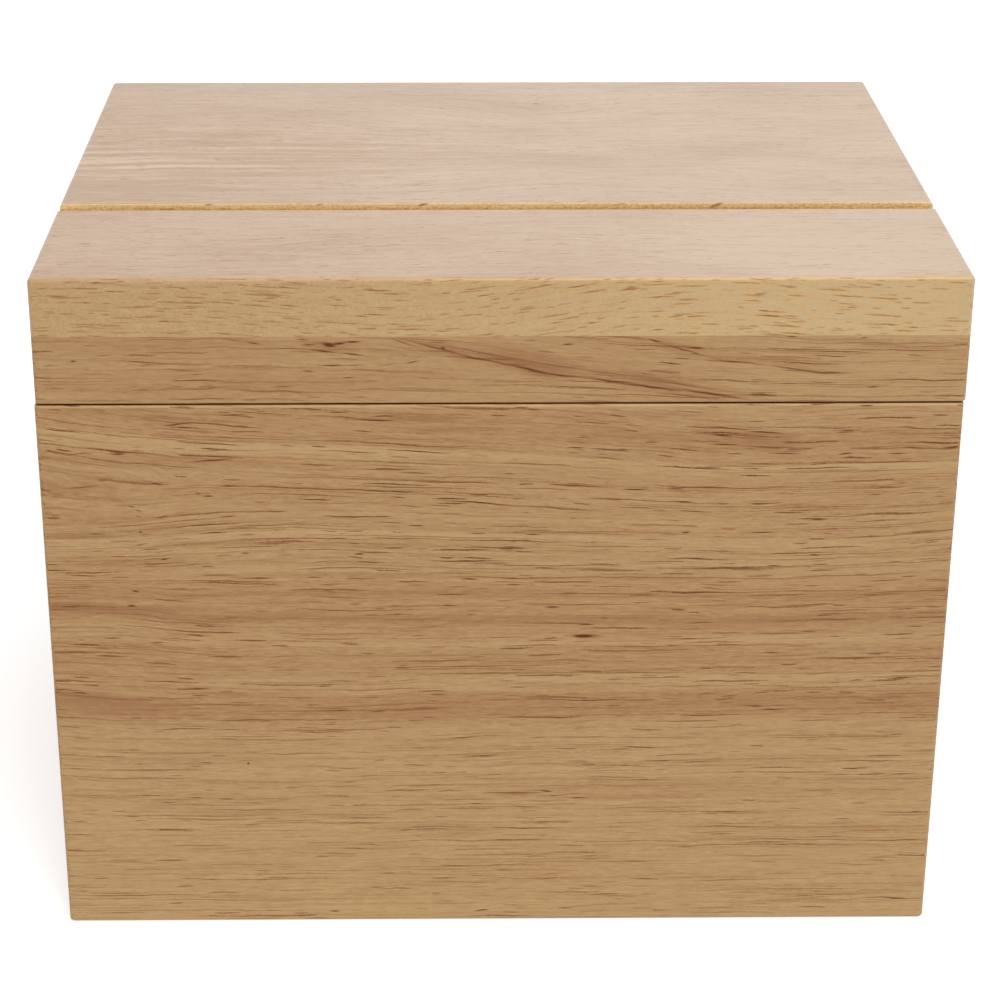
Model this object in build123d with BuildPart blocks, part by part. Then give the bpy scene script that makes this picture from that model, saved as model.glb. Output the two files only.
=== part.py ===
"""Recipe card box: a wooden body and a hinged wooden lid with a card groove across its top.

Millimetres. The origin is the middle of the body's footprint, on the surface that the box stands on.
+X is to the right along the front, +Y to the back, +Z up. The lid is shut.
"""

from build123d import *
from math import cos, radians, tan
import os

# The outside of the shut box, and where it parts.
box_width = 178.0
box_depth = 143.6
body_height = 115.6
rail_height = 13.6  # the lid's frame, under its top board
top_thickness = 11.5
seam_gap = 0.3  # between the body's rim and the lid
lid_shift = 0.25  # the lid sits this far to the right of the body

# The boards: front and back run the full width and lap over the ends of the side boards.
wall = 10.0
lap = 5.0

# The floor panel, in a groove that runs round all four walls.
floor_thickness = 5.0
floor_height = 4.0  # from the ground to the panel's underside
floor_groove_depth = 4.0
floor_play = 0.15  # round the panel's edges and above it

# The groove in the lid's top that a card stands in.
groove_width = 4.3
groove_depth = 6.0
groove_back = 47.3  # from the lid's front face to the groove's back wall

# How far the edges are eased.
corner_ease = 1.0  # the four upright corners
top_ease = 0.8
bottom_ease = 0.8
seam_ease = 0.4  # the outer edges of rim and lid, where they meet
inner_ease = 0.4  # the same edges on the inside
groove_ease = 0.3

# The hinges, and the vee along the back edges that they sit in.
hinge_spacing = 98.0  # between the hinges' middles
hinge_setback = 3.5  # from the back face to the pin's axis
opening_angle = 100.0  # where the two sides of the vee meet
barrel_radius = 1.75
pin_radius = 0.8
pin_end_ease = 0.15
pin_running_play = 0.05  # in the lid leaf's knuckles, which turn on the pin
pin_hold_play = 0.02  # in the body leaf's knuckles, which hold it
knuckle_length = 4.76
knuckle_gap = 0.3
barrel_room = 0.3  # round the barrel, in the wood
leaf_thickness = 1.0
leaf_margin = 0.8  # from the leaf's free edge to the wall's inner face
leaf_play = 0.1  # round the leaf, in its mortise

# The hinge screws: countersunk, with a slot for the driver.
screw_spacing = 16.0
screw_length = 8.0
screw_radius = 0.8
screw_head_radius = 1.6
screw_head_drop = 0.05  # below the leaf's face
screw_tip_length = 1.4
screw_play = 0.02
driver_slot_width = 0.4
driver_slot_depth = 0.35
driver_slot_turns = (20, -35)  # degrees, one for each screw of a leaf

# Worked out from the sizes above.
inner_width = box_width - 2 * wall
inner_depth = box_depth - 2 * wall
lid_underside = body_height + seam_gap
lid_height = rail_height + top_thickness
half_gap = seam_gap / 2
axis_y = box_depth / 2 - hinge_setback
axis_z = body_height + half_gap
vee_slope = radians(opening_angle / 2)  # of each side of the vee, from the level of the rim
knuckle_pitch = knuckle_length + knuckle_gap
body_knuckles = (-2 * knuckle_pitch, 0, 2 * knuckle_pitch)
lid_knuckles = (-knuckle_pitch, knuckle_pitch)
hinge_length = 5 * knuckle_length + 4 * knuckle_gap
leaf_reach = wall - hinge_setback - leaf_margin
screw_setback = (leaf_reach + barrel_radius) / 2  # from the pin's axis, halfway over the flat of the leaf
hinge_places = {"left": -hinge_spacing / 2, "right": hinge_spacing / 2}

# Body and lid each stand on a base, and meet at a rim whose plane faces away from their own wood.
body_base = Plane.XY
lid_base = Plane((lid_shift, 0, lid_underside))
body_rim = body_base.offset(body_height)
lid_rim = Plane(origin=lid_base.origin, x_dir=(-1, 0, 0), z_dir=(0, 0, -1))


def write(builder, label):
    """Label a finished piece and write it."""
    builder.part.label = label
    export_step(builder.part, f"parts/{label}.step")


# ---- Planes of the hinges ----


def hinge_half(rim, hinge_x):
    """One half of a hinge: origin on the pin's axis, x along it, y to the back, z away from its wood."""
    return Plane(origin=(hinge_x, axis_y, axis_z), x_dir=rim.x_dir, z_dir=rim.z_dir)


def across(half, along=0):
    """Section across the pin, some way along it: x to the back, y away from the wood."""
    return Plane(
        origin=half.from_local_coords((along, 0, 0)), x_dir=half.y_dir, z_dir=half.x_dir
    )


def screw_seats(half):
    """Where the two screws of a leaf go, on the leaf's face."""
    return [
        Plane(
            origin=half.from_local_coords((along, -screw_setback, -half_gap)),
            x_dir=half.x_dir,
            z_dir=half.z_dir,
        )
        for along in (-screw_spacing / 2, screw_spacing / 2)
    ]


# ---- Shapes that the boards are cut with ----


def outer_form(rim, height, far_ease):
    """Outside of the glued-up body or lid: its eased edges, and its side of the vee.

    far_ease goes on the edges away from the seam.
    """
    with BuildPart() as form:
        with BuildSketch(rim):
            RectangleRounded(box_width, box_depth, corner_ease)
        extrude(amount=-height)
        towards_seam = Axis(rim.origin, rim.z_dir)
        fillet(form.faces().sort_by(towards_seam)[0].edges(), far_ease)
        vee_start = -half_gap * tan(vee_slope / 2)
        vee_end = 2 * hinge_setback
        with BuildSketch(across(hinge_half(rim, 0))):
            with BuildLine():
                Polyline(
                    (vee_start, 0),
                    (vee_start, -half_gap),
                    (vee_end, -vee_end * tan(vee_slope) - half_gap / cos(vee_slope)),
                    (vee_end, 0),
                    close=True,
                )
            make_face()
        extrude(amount=box_width, both=True, mode=Mode.SUBTRACT)
        seam_edges = form.faces().sort_by(towards_seam)[-1].edges().sort_by(Axis.Y)
        fillet(seam_edges[:-1], seam_ease)
    return form.part


def inner_edge_cut(rim):
    """Eases the inner edges of the boards at the seam."""
    with BuildPart() as cut:
        with BuildSketch(rim):
            Rectangle(inner_width + 2 * inner_ease, inner_depth + 2 * inner_ease)
        extrude(amount=-inner_ease, taper=45)
    return cut.part


def hinge_cuts(rim):
    """Mortises, barrel pockets and pilot holes for one half of both hinges."""
    with BuildPart() as cuts:
        for hinge_x in hinge_places.values():
            half = hinge_half(rim, hinge_x)
            with BuildSketch(across(half)):
                Rectangle(
                    leaf_reach + leaf_play, half_gap + leaf_thickness, align=Align.MAX
                )
            extrude(amount=hinge_length / 2 + leaf_play, both=True)
            with BuildSketch(across(half)):
                Circle(barrel_radius + barrel_room)
            extrude(amount=hinge_length / 2 + barrel_room, both=True)
            with Locations(*screw_seats(half)):
                screw_hole(mode=Mode.ADD)
    return cuts.part


def screw_hole(mode=Mode.SUBTRACT):
    """Countersunk hole that a screw fits, drilled at each location in use."""
    CounterSinkHole(
        radius=screw_radius + screw_play,
        counter_sink_radius=screw_head_radius + screw_head_drop + screw_play,
        depth=screw_length,
        counter_sink_angle=90,
        mode=mode,
    )


# ---- The four boards of a half ----


def board(base, place, height):
    """One board of body or lid, before its edges are eased: place is front, back, left or right."""
    with BuildPart() as blank:
        with BuildSketch(base):
            if place in ("front", "back"):
                end = -1 if place == "front" else 1
                with Locations((0, end * (box_depth - wall) / 2)):
                    Rectangle(box_width, wall)
                with GridLocations(box_width - wall, 0, 2, 1):
                    Rectangle(wall, box_depth - 2 * lap, mode=Mode.SUBTRACT)
            else:
                end = -1 if place == "left" else 1
                with Locations((end * (box_width - wall) / 2, 0)):
                    Rectangle(wall, box_depth - 2 * lap)
        extrude(amount=height)
    return blank.part


os.makedirs("parts", exist_ok=True)

# ---- Body ----

with BuildPart() as floor_groove:
    with BuildSketch(body_base.offset(floor_height)):
        Rectangle(
            inner_width + 2 * floor_groove_depth, inner_depth + 2 * floor_groove_depth
        )
    extrude(amount=floor_thickness + floor_play)

body_form = outer_form(body_rim, body_height, bottom_ease)
body_cuts = [inner_edge_cut(body_rim), hinge_cuts(body_rim), floor_groove.part]

for place in ("front", "back", "left", "right"):
    with BuildPart() as panel:
        add(board(body_base, place, body_height))
        add(body_form, mode=Mode.INTERSECT)
        add(body_cuts, mode=Mode.SUBTRACT)
    write(panel, f"body_{place}_panel")

with BuildPart() as floor_panel:
    with BuildSketch(body_base.offset(floor_height)):
        Rectangle(
            inner_width + 2 * (floor_groove_depth - floor_play),
            inner_depth + 2 * (floor_groove_depth - floor_play),
        )
    extrude(amount=floor_thickness)
write(floor_panel, "body_floor_panel")

# ---- Lid ----

lid_form = outer_form(lid_rim, lid_height, top_ease)
lid_cuts = [inner_edge_cut(lid_rim), hinge_cuts(lid_rim)]

for place in ("front", "back", "left", "right"):
    with BuildPart() as rail:
        add(board(lid_base, place, rail_height))
        add(lid_form, mode=Mode.INTERSECT)
        add(lid_cuts, mode=Mode.SUBTRACT)
    write(rail, f"lid_{place}_rail")

groove_middle = -box_depth / 2 + groove_back - groove_width / 2
groove_mouth = Plane(
    origin=(lid_shift, groove_middle, lid_underside + lid_height),
    x_dir=(0, 1, 0),
    z_dir=(1, 0, 0),
)

with BuildPart() as lid_top_board:
    with BuildSketch(lid_base.offset(rail_height)):
        Rectangle(box_width, box_depth)
    extrude(amount=top_thickness)
    add(lid_form, mode=Mode.INTERSECT)
    with BuildSketch(groove_mouth):
        Rectangle(groove_width, groove_depth, align=(Align.CENTER, Align.MAX))
        Rectangle(
            groove_width + 2 * groove_ease, groove_ease, align=(Align.CENTER, Align.MAX)
        )
        with Locations((0, -groove_ease)):
            with GridLocations(groove_width + 2 * groove_ease, 0, 2, 1):
                Circle(groove_ease, mode=Mode.SUBTRACT)
    extrude(amount=box_width, both=True, mode=Mode.SUBTRACT)
write(lid_top_board, "lid_top_board")

# ---- Hinges ----


def hinge_leaf(half, own_knuckles, other_knuckles, pin_play):
    """A leaf with its own knuckles, cut away where the other leaf's knuckles turn."""
    with BuildPart() as leaf:
        with BuildSketch(across(half)):
            with Locations((0, -half_gap)):
                Rectangle(leaf_reach, leaf_thickness, align=Align.MAX)
        extrude(amount=hinge_length / 2, both=True)
        for along in other_knuckles:
            with BuildSketch(across(half, along)):
                Circle(barrel_radius + knuckle_gap)
            extrude(
                amount=knuckle_length / 2 + knuckle_gap, both=True, mode=Mode.SUBTRACT
            )
        for along in own_knuckles:
            with BuildSketch(across(half, along)):
                Circle(barrel_radius)
            extrude(amount=knuckle_length / 2, both=True)
        with BuildSketch(across(half)):
            Circle(pin_radius + pin_play)
        extrude(amount=hinge_length / 2, both=True, mode=Mode.SUBTRACT)
        with Locations(*screw_seats(half)):
            screw_hole()
    return leaf


def leaf_screws(half):
    """The two screws of a leaf."""
    head_top = -screw_head_drop
    head_bottom = head_top - (screw_head_radius - screw_radius)
    with BuildPart() as screws:
        for seat, turn in zip(screw_seats(half), driver_slot_turns):
            with BuildSketch(
                Plane(origin=seat.origin, x_dir=seat.x_dir, z_dir=-seat.y_dir)
            ):
                with BuildLine():
                    Polyline(
                        (0, head_top),
                        (screw_head_radius, head_top),
                        (screw_radius, head_bottom),
                        (screw_radius, screw_tip_length - screw_length),
                        (0, -screw_length),
                        close=True,
                    )
                make_face()
            revolve(axis=Axis(seat.origin, seat.z_dir))
            with BuildSketch(seat.offset(head_top)):
                Rectangle(driver_slot_width, 2 * screw_head_radius, rotation=turn)
            extrude(amount=-driver_slot_depth, mode=Mode.SUBTRACT)
    return screws


for side, hinge_x in hinge_places.items():
    body_half = hinge_half(body_rim, hinge_x)
    lid_half = hinge_half(lid_rim, hinge_x)
    with BuildPart() as pin:
        with BuildSketch(across(body_half)):
            Circle(pin_radius)
        extrude(amount=hinge_length / 2, both=True)
        chamfer(pin.edges().filter_by(GeomType.CIRCLE), pin_end_ease)
    write(pin, f"{side}_hinge_pin")
    write(
        hinge_leaf(body_half, body_knuckles, lid_knuckles, pin_hold_play),
        f"{side}_hinge_body_leaf",
    )
    write(
        hinge_leaf(lid_half, lid_knuckles, body_knuckles, pin_running_play),
        f"{side}_hinge_lid_leaf",
    )
    write(leaf_screws(body_half), f"{side}_hinge_body_screws")
    write(leaf_screws(lid_half), f"{side}_hinge_lid_screws")
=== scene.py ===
"""Recipe card box: its woods, its brass, the light and the camera.

Lengths in the materials are millimetres on the boards. x runs to the right, y to the back and z up,
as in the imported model.
"""

import math

import bpy
from mathutils import Matrix, Vector


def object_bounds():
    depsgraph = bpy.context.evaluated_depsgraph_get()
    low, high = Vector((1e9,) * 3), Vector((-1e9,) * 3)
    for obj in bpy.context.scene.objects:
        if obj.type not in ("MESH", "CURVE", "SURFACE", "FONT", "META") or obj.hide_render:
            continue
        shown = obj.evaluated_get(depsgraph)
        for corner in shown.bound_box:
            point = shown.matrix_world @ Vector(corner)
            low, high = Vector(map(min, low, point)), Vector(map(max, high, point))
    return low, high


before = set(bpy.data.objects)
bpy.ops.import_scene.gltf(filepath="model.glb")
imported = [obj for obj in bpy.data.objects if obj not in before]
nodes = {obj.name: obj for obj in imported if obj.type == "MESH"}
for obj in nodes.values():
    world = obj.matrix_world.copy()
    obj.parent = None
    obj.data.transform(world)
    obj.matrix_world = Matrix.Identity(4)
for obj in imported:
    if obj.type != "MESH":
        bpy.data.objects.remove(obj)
cad_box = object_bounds()
scene = bpy.context.scene

MM = 0.001

# ---- The box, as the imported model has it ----
#
# x is 0 in its middle from left to right, y in its middle from front to back and z at its foot.
# GROOVE_BACK runs from the lid's front face to the groove's back wall.

HALF_WIDTH = 89.0
HALF_DEPTH = 71.8
TOP_FACE = 141.0
BODY_TOP = 115.6
SEAM_HEIGHT = 115.75
GROOVE_BACK = 47.3
GROOVE_WIDTH = 4.3
GROOVE_DEPTH = 6.0
FRONT_FACE = -HALF_DEPTH
GROOVE_MIDDLE = FRONT_FACE + GROOVE_BACK - GROOVE_WIDTH / 2
GROOVE_FLOOR = TOP_FACE - GROOVE_DEPTH


def srgb(red, green, blue):
    """The linear colour that a shader takes, for a colour as a screen shows it, 0 to 255."""
    shares = [part / 255 for part in (red, green, blue)]
    linear = [s / 12.92 if s <= 0.04045 else ((s + 0.055) / 1.055) ** 2.4 for s in shares]
    return (*linear, 1.0)


# ---- Short ways to write a material's nodes ----

NOISE_SPREAD = 2.6  # a noise node's values keep close to their middle, and this spreads them

# The sockets that a Mix node has for colours.
MIX_FIRST_COLOUR = 6
MIX_SECOND_COLOUR = 7
MIX_COLOUR = 2


class Wire:
    """One output of a node, which can be used in a formula like a number."""

    def __init__(self, sheet, socket):
        self.sheet = sheet
        self.socket = socket

    def __add__(self, other):
        return self.sheet.math("ADD", self, other)

    def __sub__(self, other):
        return self.sheet.math("SUBTRACT", self, other)

    def __rsub__(self, other):
        return self.sheet.math("SUBTRACT", other, self)

    def __mul__(self, other):
        return self.sheet.math("MULTIPLY", self, other)

    def __truediv__(self, other):
        return self.sheet.math("DIVIDE", self, other)

    def __abs__(self):
        return self.sheet.math("ABSOLUTE", self)

    __radd__ = __add__
    __rmul__ = __mul__


class Sheet:
    """A new material and its node tree."""

    def __init__(self, name):
        self.material = bpy.data.materials.new(name)
        self.material.use_nodes = True
        self.nodes = self.material.node_tree.nodes
        self.links = self.material.node_tree.links
        self.shader = self.nodes["Principled BSDF"]

    def feed(self, socket, value):
        if isinstance(value, Wire):
            self.links.new(value.socket, socket)
        else:
            socket.default_value = value

    def set(self, **values):
        """Feeds the shader's own inputs: base_color becomes Base Color."""
        for name, value in values.items():
            words = [word if word == "IOR" else word.capitalize() for word in name.split("_")]
            self.feed(self.shader.inputs[" ".join(words)], value)

    def math(self, operation, *values, clamp=False):
        node = self.nodes.new("ShaderNodeMath")
        node.operation = operation
        node.use_clamp = clamp
        for socket, value in zip(node.inputs, values):
            self.feed(socket, value)
        return Wire(self, node.outputs[0])

    def clamp(self, value):
        return self.math("ADD", value, 0.0, clamp=True)

    def step(self, value, low, high, to_low=0.0, to_high=1.0):
        """Goes smoothly from to_low to to_high while value goes from low to high."""
        node = self.nodes.new("ShaderNodeMapRange")
        node.interpolation_type = "SMOOTHSTEP"
        for socket, number in zip(node.inputs, (value, low, high, to_low, to_high)):
            self.feed(socket, number)
        return Wire(self, node.outputs[0])

    def vector(self, x, y, z):
        node = self.nodes.new("ShaderNodeCombineXYZ")
        for socket, value in zip(node.inputs, (x, y, z)):
            self.feed(socket, value)
        return Wire(self, node.outputs[0])

    def split(self, vector):
        node = self.nodes.new("ShaderNodeSeparateXYZ")
        self.feed(node.inputs[0], vector)
        return [Wire(self, out) for out in node.outputs]

    def place(self):
        """The point on the board in mm, which stays with the board when the lid opens."""
        node = self.nodes.new("ShaderNodeTexCoord")
        return [part * (1 / MM) for part in self.split(Wire(self, node.outputs["Object"]))]

    def facing(self):
        """The way the surface faces, as the board has it: 1 to the right, to the back and up."""
        node = self.nodes.new("ShaderNodeTexCoord")
        return self.split(Wire(self, node.outputs["Normal"]))

    def noise(self, place, sizes, detail=2.0, roughness=0.5):
        """Soft random values round 0, from about -1 to 1, in lumps of these sizes."""
        node = self.nodes.new("ShaderNodeTexNoise")
        point = self.vector(*(part / size for part, size in zip(place, sizes)))
        self.feed(node.inputs["Vector"], point)
        self.feed(node.inputs["Scale"], 1.0)
        self.feed(node.inputs["Detail"], detail)
        self.feed(node.inputs["Roughness"], roughness)
        return (Wire(self, node.outputs[0]) - 0.5) * NOISE_SPREAD

    def cells(self, point):
        """The distance to the nearest of many scattered points, and that point's random number."""
        node = self.nodes.new("ShaderNodeTexVoronoi")
        self.feed(node.inputs["Vector"], point)
        self.feed(node.inputs["Scale"], 1.0)
        lot = self.nodes.new("ShaderNodeTexWhiteNoise")
        self.links.new(node.outputs["Color"], lot.inputs["Vector"])
        return Wire(self, node.outputs["Distance"]), Wire(self, lot.outputs["Value"])

    def ramp(self, value, stops):
        """A colour from a list of (position, colour)."""
        node = self.nodes.new("ShaderNodeValToRGB")
        self.feed(node.inputs[0], value)
        elements = node.color_ramp.elements
        while len(elements) < len(stops):
            elements.new(0.5)
        for element, (position, colour) in zip(elements, sorted(stops)):
            element.position = position
            element.color = colour
        return Wire(self, node.outputs[0])

    def mix(self, share, first, second):
        """The first colour where share is 0 and the second where it is 1."""
        node = self.nodes.new("ShaderNodeMix")
        node.data_type = "RGBA"
        self.feed(node.inputs["Factor"], share)
        self.feed(node.inputs[MIX_FIRST_COLOUR], first)
        self.feed(node.inputs[MIX_SECOND_COLOUR], second)
        return Wire(self, node.outputs[MIX_COLOUR])

    def relief(self, height, depth):
        """Gives the shader a bumpy surface: height from 0 to 1, depth in mm."""
        node = self.nodes.new("ShaderNodeBump")
        self.feed(node.inputs["Strength"], 1.0)
        self.feed(node.inputs["Distance"], depth * MM)
        self.feed(node.inputs["Height"], height)
        self.set(normal=Wire(self, node.outputs[0]))


# ---- Wood ----
#
# Every board is a solid block of rubberwood: u runs along its grain, v across its wide face and w
# through it. s is the v that a grain line would have if it ran straight, so all that follows the
# grain is drawn on s.

PORE_BROWN = srgb(128, 77, 34)
FACE_BROWN = srgb(176, 120, 72)
EDGE_BROWN = srgb(146, 98, 50)
PORE_DARK = srgb(76, 36, 15)
BODY_TONES = (srgb(161, 118, 74), srgb(178, 139, 92), srgb(188, 155, 105))
LID_EDGE_TONES = (srgb(177, 138, 88), srgb(193, 159, 109), srgb(202, 173, 124))
# The face's tones are paler than the edge's: partly the face's own tone, partly a painted sheen.
LID_FACE_TONES_WITH_PAINTED_SHEEN = (srgb(191, 151, 112), srgb(207, 173, 137), srgb(218, 189, 155))
LID_FACE_PALE = srgb(216, 191, 167)
# The groove wall's own tones, brightened and made more golden with painted light.
GROOVE_WALL_TONES_WITH_PAINTED_LIGHT = (srgb(200, 150, 82), srgb(228, 186, 118), srgb(246, 216, 160))
GOLD_FLECK = srgb(218, 162, 80)
# Painted highlight along the lid board's upper front edge.
LID_ARRIS_PAINTED_HIGHLIGHT = srgb(229, 189, 130)
# Painted highlight on the body's eased top edge under the seam.
BODY_ARRIS_PAINTED_HIGHLIGHT = srgb(214, 178, 128)
# Painted shade in the seam between body and lid.
SEAM_PAINTED_SHADE = srgb(124, 82, 48)
FLOOR_TONES = (srgb(178, 142, 98), srgb(196, 163, 118), srgb(206, 176, 132))


def swell(sheet, u, v, at, reach, rise):
    """A smooth hill round one place of a board, rise high in the middle."""
    along = (u - at[0]) / reach[0]
    across = (v - at[1]) / reach[1]
    return rise * sheet.math("EXPONENT", 0.0 - along * along - across * across)


def swells(sheet, u, v, table):
    """Several hills together. Each row: place, reach and rise."""
    total = 0.0
    for at, reach, rise in table:
        total = total + swell(sheet, u, v, at, reach, rise)
    return total


def waver(sheet, u, v, w):
    """The grain's slow wandering, from about -1 to 1."""
    return sheet.noise((u, v, w), (22, 6, 6), detail=1.0)


def ripple(sheet, u, v, w):
    """How far pores and streaks stray from the grain, in mm."""
    return sheet.noise((u, v, w), (7, 2.2, 2.2)) * 0.3


def grain_lines(sheet, u, s, w, spacing):
    """Light and dark lines along the grain, from about -1 to 1."""
    return sheet.noise((u, s, w), (90, spacing, 3), detail=3.0, roughness=0.65)


def fibres(sheet, u, s, w):
    """The finest texture along the grain, from about -1 to 1."""
    return sheet.noise((u, s, w), (2.4, 0.36, 0.36), detail=1.0)


def ragged_edge(sheet, u, s, w):
    """Small random values, from about -1 to 1, that make a mark's rim uneven."""
    return sheet.noise((u, s, w), (1.2, 0.5, 2), detail=1.0)


DASH_RADIUS = 0.34  # of the spacing of the points that dashes are drawn round


def dashes(sheet, u, s, w, length, thickness, seed):
    """Pores cut lengthwise: pointed dashes along the grain.

    Gives how far inside a dash the point is, from 0 at its rim to 1 at its middle, and the dash's
    random number.
    """
    along = u / (length / DASH_RADIUS / 2) + seed
    across = s / (thickness / DASH_RADIUS / 2)
    through = w / (thickness / DASH_RADIUS / 2) + seed
    distance, number = sheet.cells(sheet.vector(along, across, through))
    return sheet.clamp(1.0 - distance / DASH_RADIUS), number


def picked(sheet, number, share, gain):
    """How strongly a dash shows, by its random number.

    Those outside the share don't show. The higher the gain, the more of the others show fully.
    """
    return sheet.clamp((number - 1.0 + share) * gain)


def streak(sheet, point, start, end, thickness):
    """One streak, pointed at both ends: 1 along its middle and 0 at its rim."""
    middle = [(a + b) / 2 for a, b in zip(start, end)]
    slant = math.atan2(end[1] - start[1], end[0] - start[0])
    node = sheet.nodes.new("ShaderNodeMapping")
    node.vector_type = "TEXTURE"
    sheet.feed(node.inputs["Vector"], point)
    sheet.feed(node.inputs["Location"], (*middle, 0.0))
    sheet.feed(node.inputs["Rotation"], (0.0, 0.0, slant))
    sheet.feed(node.inputs["Scale"], (math.dist(start, end) / 2, thickness / 2, 1.0))
    fade = sheet.nodes.new("ShaderNodeTexGradient")
    fade.gradient_type = "SPHERICAL"
    sheet.links.new(node.outputs[0], fade.inputs[0])
    return Wire(sheet, fade.outputs["Fac"])


def streaks(sheet, u, v, table):
    """All the streaks of one table. Each row: x and z of both ends, thickness, strength."""
    point = sheet.vector(u, v, 0.0)
    total = 0.0
    for left, left_height, right, right_height, thickness, strength in table:
        one = streak(sheet, point, (left, left_height), (right, right_height), thickness)
        total = sheet.math("MAXIMUM", total, one * strength)
    return sheet.clamp(total)


def marks(sheet, u, s, w, size, rim, gain, rough=0.0):
    """Dashes of one size, drawn with a rim that fades: 1 inside them and 0 outside.

    size is a row: length, thickness, what share of them shows, and a seed. rough makes their rims
    uneven.
    """
    length, thickness, share, seed = size
    depth, number = dashes(sheet, u, s, w, length, thickness, seed)
    return sheet.step(depth + rough, 0.0, rim) * picked(sheet, number, share, gain)


# Sizes of pore: length, thickness, what share of them shows, how brown they are and how dark the
# darkest are.
PORE_SIZES = (
    (60.0, 0.32, 0.5, 0.5, 0.0),
    (30.0, 0.32, 0.5, 0.7, 0.3),
    (16.0, 0.34, 0.4, 0.85, 0.6),
    (8.0, 0.36, 0.22, 0.8, 0.8),
    (4.0, 0.34, 0.2, 0.75, 0.7),
)
PORE_SEED_STEP = 3.7


def pores(sheet, u, s, w, seed, brown=1.0, dark=1.0, run=1.0):
    """Pores of every size.

    Gives how brown and how dark they make the wood, and how deep the shortest ones are. brown and
    dark are strengths, and run stretches the pores along the grain.
    """
    ragged = ragged_edge(sheet, u, s, w)
    jagged = sheet.noise((u, s, w), (0.5, 0.4, 0.5), detail=1.0)
    crowd = sheet.noise((u + seed * 26, s, w), (26, 4, 9), detail=1.0)
    brown_ink = 0.0
    dark_ink = 0.0
    for count, (length, thickness, share, size_brown, size_dark) in enumerate(PORE_SIZES):
        size_seed = seed + PORE_SEED_STEP * count
        depth, number = dashes(sheet, u, s, w, length * run, thickness, size_seed)
        rough_depth = depth * (1.0 + jagged * 0.7) + ragged * 0.1
        shown = picked(sheet, number + crowd * 0.1, share, 1.6 / share)
        darkest = picked(sheet, number + crowd * 0.06, share * 0.35, 4 / share)
        brown_ink = brown_ink + sheet.step(rough_depth, 0.0, 0.3) * shown * (size_brown * brown)
        dark_ink = dark_ink + sheet.step(rough_depth, 0.2, 0.6) * darkest * (size_dark * dark)
    return brown_ink, dark_ink, depth


PORE_RELIEF = 0.02
SATIN_ROUGHNESS = 0.46
WOOD_IOR = 1.45


def finish_wood(sheet, colour, brown, dark, open_pore, pore_colour=PORE_BROWN):
    """Pores in the wood's own colour, open under a thin satin finish."""
    colour = sheet.mix(sheet.clamp(brown), colour, pore_colour)
    colour = sheet.mix(sheet.clamp(dark), colour, PORE_DARK)
    dullness = sheet.clamp(brown * 0.2 + dark * 0.4)
    sheet.set(base_color=colour, roughness=SATIN_ROUGHNESS + dullness, IOR=WOOD_IOR)
    sheet.relief(1.0 - open_pore, PORE_RELIEF)
    return sheet.material


def paint_seam_shade_and_highlight(sheet, colour, y, z):
    """Where body and lid meet in front.

    Painted shade darkens the rims a little way in from the face, where the seam is in shade, and
    a painted highlight makes the body's eased top edge under it pale.
    """
    inside = y - FRONT_FACE
    # Painted shade on the rims a little way in from the face, where the seam lies in shade.
    rim = sheet.step(abs(z - SEAM_HEIGHT), 0.2, 0.3, 1.0, 0.0)
    rim = rim * sheet.step(inside, 0.2, 0.5) * sheet.step(inside, 0.9, 1.4, 1.0, 0.0)
    # Painted highlight on the body's eased top edge just under the seam.
    painted_arris_highlight = sheet.step(z, BODY_TOP - 0.6, BODY_TOP - 0.4)
    painted_arris_highlight = painted_arris_highlight * sheet.step(z, BODY_TOP - 0.1, BODY_TOP, 1.0, 0.0)
    painted_arris_highlight = painted_arris_highlight * sheet.step(inside, 0.5, 0.8, 1.0, 0.0)
    colour = sheet.mix(painted_arris_highlight * 0.35, colour, BODY_ARRIS_PAINTED_HIGHLIGHT)
    return sheet.mix(rim, colour, SEAM_PAINTED_SHADE)


def tone_colour(sheet, tone, tones):
    """A colour between three tones: tone is 0 for the darkest and 1 for the lightest."""
    return sheet.ramp(tone, tuple(zip((0.0, 0.5, 1.0), tones)))


# The front panel's bands: height where they cross the middle of the panel, and how light the wood
# is there. They are drawn on a strip as long as BAND_SPAN. How light they are was worked out and
# rounded from a measured profile of the photo's brightness up the panel, and then partly changed.
BAND_SPAN = 116.0
FRONT_BANDS = (
    # The lightest band, at the foot, is partly the wood's own tone and partly painted light from the
    # pale floor.
    (0, 0.9),
    (6, 0.7),
    (28, 0.7),
    (29, 0.6),
    (35, 0.72),
    (46, 0.6),
    (49, 0.1),
    (53.3, 0.25),
    (54, 0.66),
    (56.5, 0.7),
    (58, 0.34),
    (63.6, 0.36),
    (64.2, 0.68),
    (66.5, 0.42),
    (68.4, 0.4),
    (69.2, 0.05),
    (70.6, 0.05),
    (71.2, 0.36),
    (74.2, 0.34),
    (75.2, 0.2),
    (76, 0.32),
    (81, 0.65),
    (82.2, 0.5),
    (88.4, 0.78),
    (89.1, 0.42),
    (92, 0.6),
    (96, 0.45),
    (102, 0.52),
    (105.6, 0.9),
    (106.1, 0.35),
    (112.5, 0.3),
    (115.5, 0.6),
)

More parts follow.
